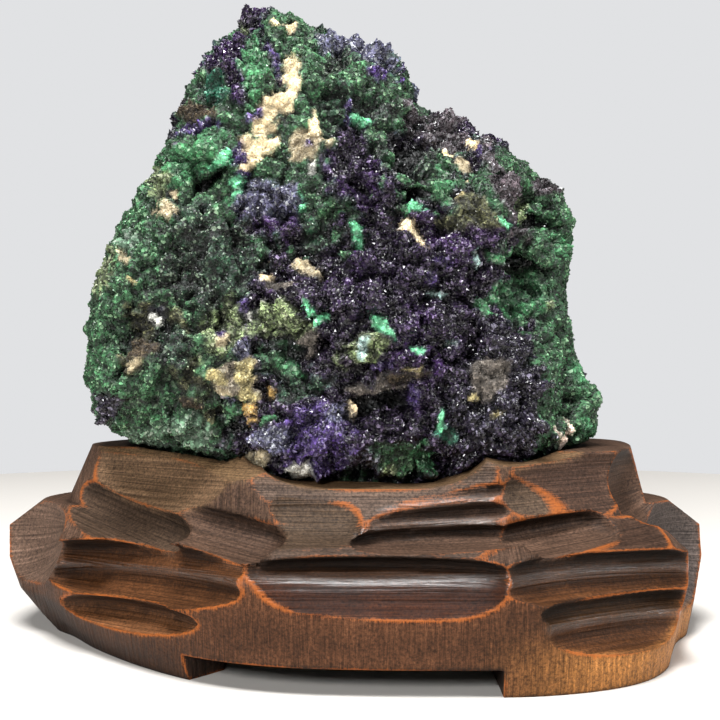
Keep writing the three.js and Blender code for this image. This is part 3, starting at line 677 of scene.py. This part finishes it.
# Where each mineral shows on the front, as laid on an upright sheet through the origin and seen from
# the front. Each patch: x, z, half width, half height, and its turn if any. Later ones lie over earlier.
FRONT = [
    ("green", (-56, 92.5, 14.8, 18.5), (-56, 55.5, 15.3, 14.8), (46.5, 95, 12.3, 24.7),
    (56.5, 58, 8.4, 19.8)), ("azurite", (11, 85, 27.7, 24.7), (7, 54, 34.6, 21)),
    ("purple", (-1, 114.5, 7, 13.5)), ("violet_black", (38, 57.5, 12.3, 16.8)),
    ("purple", (-6, 84, 8, 9, 20), (14, 66, 7, 11), (24, 97, 10, 6, -20), (-22, 99, 9, 5),
    (-27.4, 72, 1.8, 10)), ("azurite", (-14, 80, 15.3, 14.8), (-16.5, 48, 14.8, 14.8)),
    ("green", (-32.5, 117, 18.5, 14.8, 30), (-7, 134.5, 12.8, 14.3), (-15, 144, 9.9, 8.4)),
    ("speckled", (-38, 89.5, 14.8, 12.3)), ("green_dark", (-30.5, 89.5, 6.9, 6.4)),
    ("green", (-57, 89.5, 8.9, 12.3, 15)), ("moss_brown", (-51, 73, 9, 7, -20), (-58, 64, 6, 4.5),
    (-41, 61, 4.5, 8, 10)), ("purple", (-29, 143, 13.8, 4.2, 40), (-29, 134.5, 2, 6.9)),
    ("black", (-34.5, 136, 3.7, 2.7)), ("teal", (-36, 132.5, 4.2, 2)),
    ("brown", (-38.5, 126.5, 4.2, 2.5, 12)), ("violet", (-39, 122.5, 6.2, 1.5, 8)),
    ("green_lit", (-24.5, 136.5, 2.7, 9.9)), ("green", (-15.5, 148.5, 7.4, 3.2)),
    ("cream", (-17.5, 147, 1.6, 0.9)), ("moss", (-28.5, 148, 1.5, 1)), ("violet", (-19.5, 140, 1.4, 5.2)),
    ("cream", (-16.5, 137, 2, 5.9, -8), (-20.5, 127, 7.7, 2.5, 58), (-25.5, 118, 4, 2.5),
    (-26, 114.5, 2.2, 1.7)), ("violet", (-24, 125, 1, 1.5), (-26, 123.5, 1.2, 1.2), (-29.5, 116, 2.2, 2.7),
    (-27.5, 110, 2.2, 1.7)), ("cream", (-27.5, 112.5, 2, 1), (-10.5, 123.5, 1.5, 4)),
    ("tan", (-13.5, 118, 4.9, 3.7, 20)), ("violet", (-12, 119.5, 1.2, 0.8, 50)),
    ("grey", (-11.5, 111.5, 1.7, 2)), ("green", (-19, 110.5, 5.4, 3.5)),
    ("green_dark", (-2.5, 129.5, 5.9, 5.9)), ("green_lit", (-40, 116.5, 9.4, 3, 38)),
    ("mint", (-34, 115, 3, 2, 20)), ("green_lit", (-43, 111.5, 3.5, 2.5)), ("moss", (-48.5, 109, 3, 3, 30)),
    ("black", (-35.5, 110.5, 3.2, 1.7)), ("mint", (-28, 106.5, 2, 3.7)),
    ("green_lit", (-31, 104.5, 2.2, 1.7)), ("mint", (-14, 103, 2, 2)), ("tan", (-48.5, 103, 3.5, 1.7, 35),
    (-44.5, 107.5, 1.2, 1.2)), ("lilac", (-21.5, 103.5, 7.9, 4.2)), ("tan", (-58, 91, 1, 1)),
    ("ochre", (-56.5, 86, 1, 1)), ("lilac", (0, 143, 9.4, 3, -18)), ("violet", (6.5, 137, 2.2, 2.5),
    (12, 136, 2.5, 2.2)), ("green", (9, 134, 1.5, 2.7)), ("speckled", (-3.5, 140, 3.5, 3)),
    ("green_dark", (0, 128.5, 4.2, 3.5)), ("mint", (3, 124.5, 2, 1.5)), ("speckled", (6.5, 119, 3, 3),
    (6.5, 127.5, 2.5, 2.2)), ("violet", (0.5, 124, 1.2, 5.4)), ("azurite", (-1.5, 116, 4.4, 6.9)),
    ("brown_violet", (21, 122, 12.3, 3.7, -30)), ("speckled", (16, 113.5, 3.7, 3.7)),
    ("cream", (24, 116.5, 1.2, 1.7)), ("tan", (26.5, 113, 2, 1.7)), ("cream", (30, 117.5, 1.2, 1.5)),
    ("violet", (31, 115.5, 1.5, 1.2)), ("ochre", (26, 106.5, 1, 1)), ("moss_brown", (27.5, 102, 6.4, 4.2)),
    ("brown_violet", (37, 106, 12.3, 2.5, -71)), ("moss", (41.5, 103, 1.7, 3.7)),
    ("black", (46, 101, 3, 2.2), (40, 88.5, 3.7, 3.7), (44.5, 88, 3, 2)),
    ("brown_violet", (46.5, 108, 4.4, 1.7, -35)), ("black", (15.5, 107, 3.7, 2), (13, 116, 4.5, 3.5)),
    ("mint", (14.5, 103, 4.2, 1)), ("green_lit", (11.5, 103, 1.2, 2.2), (21.5, 109, 2.5, 2.7),
    (33, 104, 1, 3)), ("mint", (34, 99, 1, 1.2)), ("cream", (16, 96.5, 3.5, 1, -60), (12.5, 99.5, 1.2, 1)),
    ("mint", (-1, 98.5, 1.2, 3.2)), ("green", (-2.5, 93, 1.7, 1.7)), ("green_dark", (-9.5, 97, 4.2, 4.4)),
    ("violet", (18, 86.5, 1.7, 1.5), (21.5, 90.5, 2.7, 1)), ("grey_mint", (21.5, 83, 3.5, 1.2),
    (29.5, 90.5, 1, 2)), ("moss", (-62.5, 86, 2, 7)), ("pale_green", (-58, 95, 3, 2.5, 40)),
    ("green", (-63, 69, 4, 11.9)), ("speckled", (-46.5, 69, 7.4, 4.9, -45)),
    ("grey", (-51.5, 75, 1.7, 1.2)), ("lilac", (-50.5, 78, 1.5, 1.7)),
    ("brown", (-53.5, 67.5, 3.7, 2.7, -40)), ("tan", (-56, 64, 2.7, 1)), ("black", (-59, 62.5, 3, 2.2)),
    ("moss", (-33, 72.5, 5.2, 7.9)), ("tan", (-34, 71, 2, 2.5)), ("violet", (-35, 73, 1.2, 0.8, 50),
    # The small grey spot at x -26, z 75 is a painted glint.
    (-28.5, 78.5, 2.7, 2.7)), ("grey", (-26, 75, 1.2, 1.2)), ("lilac", (-28, 67, 2, 2.2)),
    ("ochre_grey", (-29.5, 61, 4.9, 4.4)), ("ochre", (-27, 62.5, 2.2, 3), (-33.5, 62, 1.7, 1.7)),
    ("tan", (-33.5, 58, 1.7, 1.2)), ("ochre", (-28, 57.5, 2.2, 1.5)), ("black", (-31, 55.5, 1.7, 1.2)),
    # The small lilac spot at x -33, z 55.5 is a painted glint.
    ("lilac", (-33, 55.5, 1.2, 1.2)), ("orange", (-27.5, 54, 2.2, 2), (-26, 50, 1, 1)),
    ("green", (-48.5, 52.5, 11.4, 9.4)), ("pale_green", (-42.5, 50, 5.4, 3), (-51, 46.5, 6.4, 3),
    (-39.5, 46, 4.2, 1.7)), ("violet_black", (-61.5, 52, 3, 3.7)), ("brown", (-41, 55, 3.2, 1.5)),
    ("moss_brown", (-36.5, 52, 2.5, 2.2)), ("tan", (-13.5, 89, 2.7, 2.5)),
    ("cream", (-21, 84, 1.5, 1.2, 20)), ("brown_grey", (-17.5, 82, 3.5, 1.7)), ("moss", (-19, 73, 6.2, 4)),
    ("brown_grey", (-13.5, 69.5, 3.2, 2)), ("mint", (-11.5, 77.5, 1, 1.5), (-8.5, 74.5, 2, 1.5)),
    ("green_lit", (-17, 64.5, 2.7, 2), (-14.5, 62.5, 2.5, 1.2)), ("grey_mint", (-9.5, 61, 3, 1, -30)),
    ("orange", (-21.5, 58, 0.8, 1)), ("green_dark", (-14, 59, 6.4, 3.5, 20)),
    ("violet", (-9.5, 46, 12.3, 7.4)), ("green_lit", (-21.5, 50.5, 2, 1.2), (-23.5, 48.5, 1.2, 1.5)),
    ("lilac", (-21, 43.5, 3.5, 3.5)), ("tan", (-25.5, 40, 2, 1.7)), ("grey", (-13, 37.5, 2.5, 1.5)),
    ("mint", (5, 73.5, 1.5, 2.5, 20), (7, 71, 2.2, 1, -45), (15, 68.5, 1.2, 0.8)),
    ("moss", (1.5, 66.5, 6.2, 4.2)), ("grey_mint", (0, 67.5, 1.5, 2.5)), ("violet", (8.5, 64, 2.2, 1.5),
    (4, 62, 2.5, 1.2)), ("brown", (11.5, 60.5, 5.2, 1.5, 8)), ("brown_grey", (5, 57.5, 6.7, 1.5)),
    ("black", (6, 54.5, 5.4, 2)), ("ochre", (13.5, 62.5, 1.7, 0.8)), ("violet", (14, 56, 2, 2.5)),
    ("cream", (-0.5, 52.5, 2, 1.5)), ("lilac", (-4, 51.5, 3.5, 3)), ("teal", (23, 50, 1.2, 3.7)),
    ("mint", (22.5, 51, 0.8, 2.5)), ("teal", (23, 47, 2.2, 2.2)), ("green", (11.5, 41, 8.6, 3.2)),
    ("green_lit", (17, 41, 2.5, 3)), ("moss", (8, 39.5, 2.2, 1.5)), ("violet_black", (2, 40, 3.7, 4)),
    ("brown_grey", (33.5, 60.5, 4.7, 4.2)), ("ochre", (31, 56, 1.2, 1.2), (35.5, 52, 1.5, 1.2)),
    ("green_lit", (40.5, 80.5, 6.9, 4.2), (35.5, 91, 2, 1.5)), ("moss", (48, 80, 1.2, 1.5)),
    ("azurite", (42, 74.5, 2.7, 2)), ("green", (54, 57, 9.1, 17.3)), ("green_lit", (55, 62.5, 2, 3.5),
    (58, 48, 2.5, 2.5)), ("pink", (51, 47.5, 1.2, 2.6), (51, 44, 1.2, 1.4)),
    ("green_lit", (47.5, 114.5, 2.5, 2.5), (50.5, 95, 3, 4))]
# The same for the back, on the surface itself.
BACK = [
    ("azurite", (10, 95, 30, 26, 20), (-30, 66, 26, 20)), ("violet_black", (36, 62, 18, 14)),
    ("azurite", (-20, 132, 12, 16, 20)), ("lilac", (8, 132, 8, 6)), ("green", (-38, 100, 20, 20),
    (30, 84, 16, 12)), ("green_lit", (4, 66, 16, 12)), ("teal", (42, 96, 9, 11)),
    ("speckled", (-8, 104, 13, 9, 30)), ("cream", (-26, 112, 5, 13, -35), (-18, 98, 3, 5)),
    ("tan", (18, 120, 6, 4, 20)), ("brown", (-4, 84, 9, 4, 10)), ("brown_grey", (22, 54, 8, 4)),
    ("violet", (-42, 78, 9, 4, 30), (24, 104, 7, 5, -20), (-10, 56, 10, 5)), ("mint", (-30, 84, 3, 2),
    (14, 78, 2.4, 3), (-6, 120, 2, 3)), ("green_lit", (-48, 60, 9, 8)), ("moss", (48, 74, 5, 4)),
    ("ochre", (-12, 72, 3, 2.4), (30, 96, 2, 2)), ("orange", (2, 92, 2, 2)), ("black", (-4, 76, 4, 3),
    (34, 72, 4, 4), (-30, 122, 3, 4)), ("pale_green", (-52, 76, 6, 4)), ("grey", (40, 58, 3, 2)),
    ("pink", (-44, 92, 2, 3)), ("green_dark", (14, 142, 8, 7))]
PATCH_WARP = [(7.0, 2.2), (2.6, 1.1)]  # how the patches' edges wander: width and amount

mineral_names = list(MINERALS)
mineral_table = np.array([
    [*colour(body)[:3], *colour(bright)[:3], gloss, out, knobbly, calm, *(family == np.arange(3))]
    for body, bright, gloss, out, knobbly, calm, family in MINERALS.values()])
BODY, BRIGHT, GLOSS, OUT, KNOBBLY, CALM, FAMILY = slice(0, 3), slice(3, 6), 6, 7, 8, 9, slice(10, 13)


def minerals_at(points):
    """What the surface is made of at each point: one row of the mineral table, blended at the edges."""
    green = mineral_table[mineral_names.index("green")]
    blue = mineral_table[mineral_names.index("azurite")]
    # Broad fields of malachite and azurite, which the patches lie over.
    country = waves(points, (1, 26, 41), (0.45, 9, 42), (0.2, 3, 43))
    made = mix(green, blue, ramp(country, 0.12, 0.32)[:, None])
    warped = points + sum(
        amount * np.stack([noise(points, width, seed + k) for k in range(3)], 1)
        for seed, (width, amount) in zip((50, 60), PATCH_WARP))
    behind = points[:, 1] - MIDDLE_PLANE[0] - MIDDLE_PLANE[1] * (points[:, 2] - stone_low[2])
    eye = np.array(EYE) / MM
    cast = -eye[1] / (warped[:, 1] - eye[1])
    sheet_x = eye[0] + (warped[:, 0] - eye[0]) * cast
    sheet_z = eye[2] + (warped[:, 2] - eye[2]) * cast
    ragged = waves(points, (0.35, 1.6, 70), (0.25, 4.5, 71))
    for patches, x, z, share in (
            (FRONT, sheet_x, sheet_z, ramp(behind, 1.5, -2.5)),
            (BACK, warped[:, 0], warped[:, 2], ramp(behind, -1.5, 2.5))):
        for kind, *places in patches:
            row = mineral_table[mineral_names.index(kind)]
            for cx, cz, half_x, half_z, *turned in places:
                reach = max(half_x, half_z) * 1.6 + 1
                near = np.flatnonzero((abs(x - cx) < reach) & (abs(z - cz) < reach) & (share > 0))
                dx, dz = x[near] - cx, z[near] - cz
                c, s = math.cos(math.radians(sum(turned))), math.sin(math.radians(sum(turned)))
                away = np.sqrt(((dx * c + dz * s) / half_x) ** 2 + ((dz * c - dx * s) / half_z) ** 2)
                cover = ramp(away + ragged[near], 1.12, 0.88) * share[near]
                made[near] += cover[:, None] * (row - made[near])
    return made


def cells_at(points, width, seed):
    """The nearest of scattered points about one width apart: how far away it is in widths, a number
    for it, and the way from it."""
    scaled = points / width
    cell = np.floor(scaled).astype(np.int64)
    best = np.full(len(points), 9.0)
    own = np.zeros(len(points))
    offset = np.zeros(points.shape)
    for step in np.ndindex(3, 3, 3):
        c = cell + step - 1
        spot = c + np.stack([hash_value(*c.T, seed + n) for n in range(3)], 1)
        away = np.linalg.norm(scaled - spot, axis=1)
        nearer = away < best
        best[nearer] = away[nearer]
        own[nearer] = hash_value(*c[nearer].T, seed + 5)
        offset[nearer] = (scaled - spot)[nearer]
    return best, own, offset


def slabs_at(points, width, seed):
    """The heights of flat plates about one width across that lean every way, and a number for each."""
    _, own, offset = cells_at(points, width, seed)
    lean = 2 * (own[:, None] * (17, 57, 131) % 1) - 1
    return width * (offset * lean).sum(1), own


even = bpy.data.objects.new("even", stone_cad.data.copy())
bpy.context.scene.collection.objects.link(even)
remesh = even.modifiers.new("even_faces", "REMESH")
remesh.mode = "VOXEL"
remesh.voxel_size = STONE_MESH * MM
remeshed = even.evaluated_get(bpy.context.evaluated_depsgraph_get()).data
stone_points = np.zeros(len(remeshed.vertices) * 3, np.float32)
remeshed.vertices.foreach_get("co", stone_points)
stone_points = stone_points.reshape(-1, 3).astype(float) / MM
stone_faces = np.array([p.vertices for p in remeshed.polygons])
bpy.data.objects.remove(even)

stone_edges = edges_of(stone_faces)
stone_points = averaged(stone_points, stone_edges, FACET_SMOOTHING)
bare_form = stone_points.copy()
form_normals = normals_of(stone_points, stone_faces)
made = minerals_at(stone_points)

# The relief, in mm. Dark slots run between lumps, flat ledges and tilted slabs mark the crystalline
# parts, and round knobs the malachite.
lumps = waves(stone_points, (1.25, 6.3, 81), (0.75, 3.1, 82))
crack_line = abs(waves(stone_points, (1, 10.5, 83), (0.35, 3.4, 84)))
cracks = -CRACK_DEPTH * ramp(crack_line, 0.16, 0.0)
ledge_line = noise(stone_points * (1, 1, 2.2), 8.0, 85) + waves(stone_points, (0.3, 2.8, 86))
ledges = LEDGE_HEIGHT * (ramp(ledge_line, -0.05, 0.12) - 0.5)
big_knobs, small_knobs = (KNOB_SIZE - cells_at(stone_points, width, seed)[0] for width, seed in KNOBS)
(big_slabs, big_own), (small_slabs, small_own) = (slabs_at(stone_points, *slab) for slab in SLABS)
grainy = waves(stone_points, (0.42, 1.4, 102), (0.26, 0.9, 103))
knobbly, family = made[:, KNOBBLY], made[:, FAMILY]
crystalline = 0.35 + 0.65 * (1 - np.clip(knobbly, 0, 1))
rim = ramp(abs(form_normals[:, 1]), 0.6, 0.15)
smooth_rim = 1 - (0.4 + 0.25 * family[:, MALACHITE]) * rim  # the sides are worn smoother
relief = (lumps + cracks + made[:, OUT] + grainy + knobbly * (2.0 * big_knobs + 1.0 * small_knobs)
          + crystalline * (ledges + 0.75 * big_slabs + 0.6 * small_slabs)) * smooth_rim - SKIN_DEPTH
sandy = made[:, OUT] + 0.35 * lumps + 0.7 * grainy
relief = mix(relief, sandy, 0.7 * family[:, MATRIX])
stone_points = stone_points + form_normals * relief[:, None]

too_near = wood_distance(stone_points) <= STONE_ROOM
stone_points[too_near] = bare_form[too_near] - form_normals[too_near] * DRAWN_BACK
stone_points[:, 2] = np.maximum(stone_points[:, 2], stone_low[2])
stone_normals = normals_of(stone_points, stone_faces)

# Painted light and shade: tops are painted lighter and hollows darker, by how far each point stands out of
# what is round it, narrowly and widely. Each slab has its own tone, and a painted shadow darkens the stone
# where it meets the wood.
narrow_rise, wide_rise = (
    np.clip(standing_out(stone_points, stone_normals, stone_edges, rounds) / full, -1, 1)
    for rounds, full in ((5, 0.35), (60, 1.3)))
lit = np.clip(0.74 + 0.50 * narrow_rise + 0.58 * wide_rise, 0.04, 1.7)
lit *= 1 + waves(stone_points, (0.22, 11, 110), (0.16, 4, 111))
lit *= (0.72 + 0.56 * big_own) * (0.55 + 0.9 * small_own)
lit = mix(lit, 1.1, 0.6 * np.clip(made[:, CALM], 0, 1))
# Painted shadow where the stone meets the wood.
lit *= mix(0.3, 1.0, ramp(wood_distance(stone_points), 0.6, 3.0))
# Both colours carry the painted light and shade.
body_colour = made[:, BODY] * lit[:, None]
bright_colour = made[:, BRIGHT] * np.clip(lit, 0.3, 1.3)[:, None]

stone_rock, tree = new_material("azurite_and_malachite")
# A sugary mass of grains 0.4 to 0.75 mm across: each grain has its own tone, and a few take their bright
# colour, partly pale grains and partly painted glints.
body = add(tree, "Attribute", attribute_name="body")
bright = add(tree, "Attribute", attribute_name="bright")
gloss = add(tree, "Attribute", attribute_name="gloss").outputs["Fac"]
place = add(tree, "TexCoord").outputs["Object"]
grains = add(tree, "TexVoronoi", {"Vector": place, "Scale": 1 / (0.75 * MM), "Randomness": 1.0})
fine_grains = add(tree, "TexVoronoi", {"Vector": place, "Scale": 1 / (0.4 * MM), "Randomness": 1.0})
own_tone = add(tree, "SeparateColor", {"Color": grains.outputs["Color"]})
fine_tone = add(tree, "SeparateColor", {"Color": fine_grains.outputs["Color"]})
spread = add(tree, "Math", {0: own_tone.outputs[0], 1: 1.9}, operation="POWER")
tone = add(tree, "MapRange", {"Value": spread, 3: 0.1, 4: 2.1})
fine = add(tree, "MapRange", {"Value": fine_tone.outputs[0], 3: 0.6, 4: 1.4})
both = add(tree, "Math", {0: tone, 1: fine}, operation="MULTIPLY")
calm = add(tree, "Attribute", attribute_name="calm").outputs["Fac"]
evened = add(tree, "Mix", {0: calm, 2: both, 3: 1.0}, data_type="FLOAT")
toned = add(tree, "VectorMath", {0: body, "Scale": evened}, operation="SCALE")
pale_grains_and_painted_glints = add(tree, "MapRange", {"Value": own_tone.outputs[1], 1: 0.86, 2: 0.99, 3: 0.0, 4: 0.7})
base = add(tree, "Mix", {0: pale_grains_and_painted_glints, 6: toned, 7: bright}, data_type="RGBA")
dull = add(tree, "MapRange", {"Value": gloss, 3: 0.85, 4: 0.28})
height = add(tree, "Math", {0: grains.outputs["Distance"], 1: own_tone.outputs[2]}, operation="ADD")
grain_bump = add(tree, "Bump", {"Height": height, "Distance": 0.35 * MM, "Strength": 0.9})
fine_bump = add(tree, "Bump", {
    "Height": fine_tone.outputs[1], "Distance": 0.15 * MM, "Strength": 0.8, "Normal": grain_bump})
shader = add(tree, "BsdfPrincipled", {
    "Base Color": base.outputs[2], "Roughness": dull, "IOR": 1.5, "Normal": fine_bump})
add(tree, "OutputMaterial", {"Surface": shader})

stone = new_piece("stone_body", stone_points, stone_faces, stone_rock)
set_attributes(stone, body=body_colour, bright=bright_colour, gloss=made[:, GLOSS], calm=made[:, CALM])
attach(stone, "root")
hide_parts("malachite_stone")

# ---------------------------------------------------------------- the crust of crystals
# Short sharp crystals stand all over the stone, half sunk in it: glassy azurite blades in the violet
# parts, silky malachite grains in the green ones, and dull quartz sand on the bare matrix.

# Each crust: name, family, whether it is on the front, or None for both sides, how many crystals, their
# least and greatest width in mm, and length over width.
CRUSTS = [
    ("azurite_druse_front", AZURITE, True, 23500, 0.45, 1.15, 1.5),
    ("azurite_druse_back", AZURITE, False, 12000, 0.6, 1.5, 1.5),
    ("malachite_druse_front", MALACHITE, True, 23500, 0.4, 0.95, 1.2),
    ("malachite_druse_back", MALACHITE, False, 12000, 0.6, 1.4, 1.2),
    ("matrix_sand", MATRIX, None, 10500, 0.35, 0.8, 1.0),
]
CRYSTAL_IOR = {AZURITE: 1.52, MALACHITE: 1.5, MATRIX: 1.4}
CRYSTAL_ROUGHNESS = {AZURITE: 0.16, MALACHITE: 0.30, MATRIX: 0.6}
CRYSTAL_NAME = {AZURITE: "azurite_crystal", MALACHITE: "malachite_grain", MATRIX: "quartz_sand"}
CRYSTAL_ROOM = 1.6  # how near a crystal may stand to the wood, in mm
CRYSTAL_RISE = 0.12  # how far its middle stands out, in its own widths
CRYSTAL_SEED = 700
MOSTLY_LOW = 2.2  # the power that makes most draws small
DOUBLE_PYRAMID = np.array([(1, 0, 0), (0, 1, 0), (-1, 0, 0), (0, -1, 0), (0, 0, 1), (0, 0, -1)], float)
DOUBLE_PYRAMID_FACES = np.array([
    (0, 1, 4), (1, 2, 4), (2, 3, 4), (3, 0, 4), (1, 0, 5), (2, 1, 5), (3, 2, 5), (0, 3, 5)])

face_middle = stone_points[stone_faces].mean(1)
face_cross = crosses_of(stone_points, stone_faces) / 2
face_area = np.linalg.norm(face_cross, axis=1)
face_normal = face_cross / np.maximum(face_area, 1e-9)[:, None]
face_made = made[stone_faces].mean(1)
face_lit = lit[stone_faces].mean(1)
face_front = face_middle[:, 1] < MIDDLE_PLANE[0] + MIDDLE_PLANE[1] * (face_middle[:, 2] - stone_low[2])
face_free = wood_distance(face_middle) > CRYSTAL_ROOM


def crystal_material(family):
    """Smooth growth faces on every crystal, each crystal with its own colour."""
    material, tree = new_material(CRYSTAL_NAME[family])
    own = add(tree, "Attribute", attribute_name="own_colour")
    place = add(tree, "TexCoord").outputs["Object"]
    wear = add(tree, "TexNoise", {"Vector": place, "Scale": 1 / (0.5 * MM), "Detail": 1.0})
    rough = add(tree, "MapRange", {
        "Value": wear, 1: 0.3, 2: 0.7,
        3: CRYSTAL_ROUGHNESS[family] * 0.6, 4: CRYSTAL_ROUGHNESS[family] * 1.6})
    shader = add(tree, "BsdfPrincipled", {
        "Base Color": own, "Roughness": rough, "IOR": CRYSTAL_IOR[family]})
    add(tree, "OutputMaterial", {"Surface": shader})
    return material


def turned_at_random(count, random):
    """Rotations that point every way."""
    q = random.normal(size=(count, 4))
    w, x, y, z = (q / np.linalg.norm(q, axis=1)[:, None]).T
    none = np.zeros(count)
    across = np.array([(none, -z, y), (z, none, -x), (-y, x, none)]).transpose(2, 0, 1)
    return np.eye(3) + 2 * w[:, None, None] * across + 2 * across @ across


crystal_materials = {family: crystal_material(family) for family in (AZURITE, MALACHITE, MATRIX)}
for seed, (name, family, on_front, count, least, most, slender) in enumerate(CRUSTS):
    random = np.random.default_rng(CRYSTAL_SEED + seed)
    chance = face_area * ramp(face_made[:, FAMILY][:, family], 0.35, 0.75) * face_free
    if on_front is not None:
        chance = chance * (face_front == on_front)
    chosen = random.choice(len(face_area), count, p=chance / chance.sum())
    width = least + (most - least) * random.random(count) ** MOSTLY_LOW
    shape = np.stack([width * random.uniform(0.35, 0.8, count), width * random.uniform(0.7, 1.0, count),
                      width * random.uniform(0.8, 1.0, count) * slender], 1) / 2
    corners = stone_faces[chosen]
    spread = random.dirichlet((1, 1, 1, 1), count)
    seat = (stone_points[corners] * spread[:, :, None]).sum(1)
    seat += face_normal[chosen] * CRYSTAL_RISE * width[:, None]
    turned = turned_at_random(count, random)
    points = np.einsum("nij,nkj->nki", turned, DOUBLE_PYRAMID * shape[:, None, :]) + seat[:, None, :]
    faces = DOUBLE_PYRAMID_FACES + 6 * np.arange(count)[:, None, None]
    kind = face_made[chosen]
    light = face_lit[chosen]
    draw = random.random(count)
    plain, lighter, bright = (random.uniform(*span, count) for span in ((0, 0.06), (0.08, 0.4), (0.45, 1)))
    pale = np.where(draw < 0.76, plain, np.where(draw < 0.94, lighter, bright))
    varied, alike = 0.1 + 2.2 * random.random(count) ** MOSTLY_LOW, random.uniform(0.8, 1.05, count)
    tone = mix(varied, alike, kind[:, CALM])
    # Each crystal takes the painted light and shade of the stone under it.
    body = kind[:, BODY] * (np.maximum(tone, 0.04) * light)[:, None]
    own = mix(body, kind[:, BRIGHT] * np.clip(light, 0.4, 1.2)[:, None], pale[:, None])
    crust = new_piece(name, points.reshape(-1, 3), faces.reshape(-1, 3), crystal_materials[family], False)
    set_attributes(crust, own_colour=np.repeat(own, len(DOUBLE_PYRAMID), 0))
    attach(crust, "root")
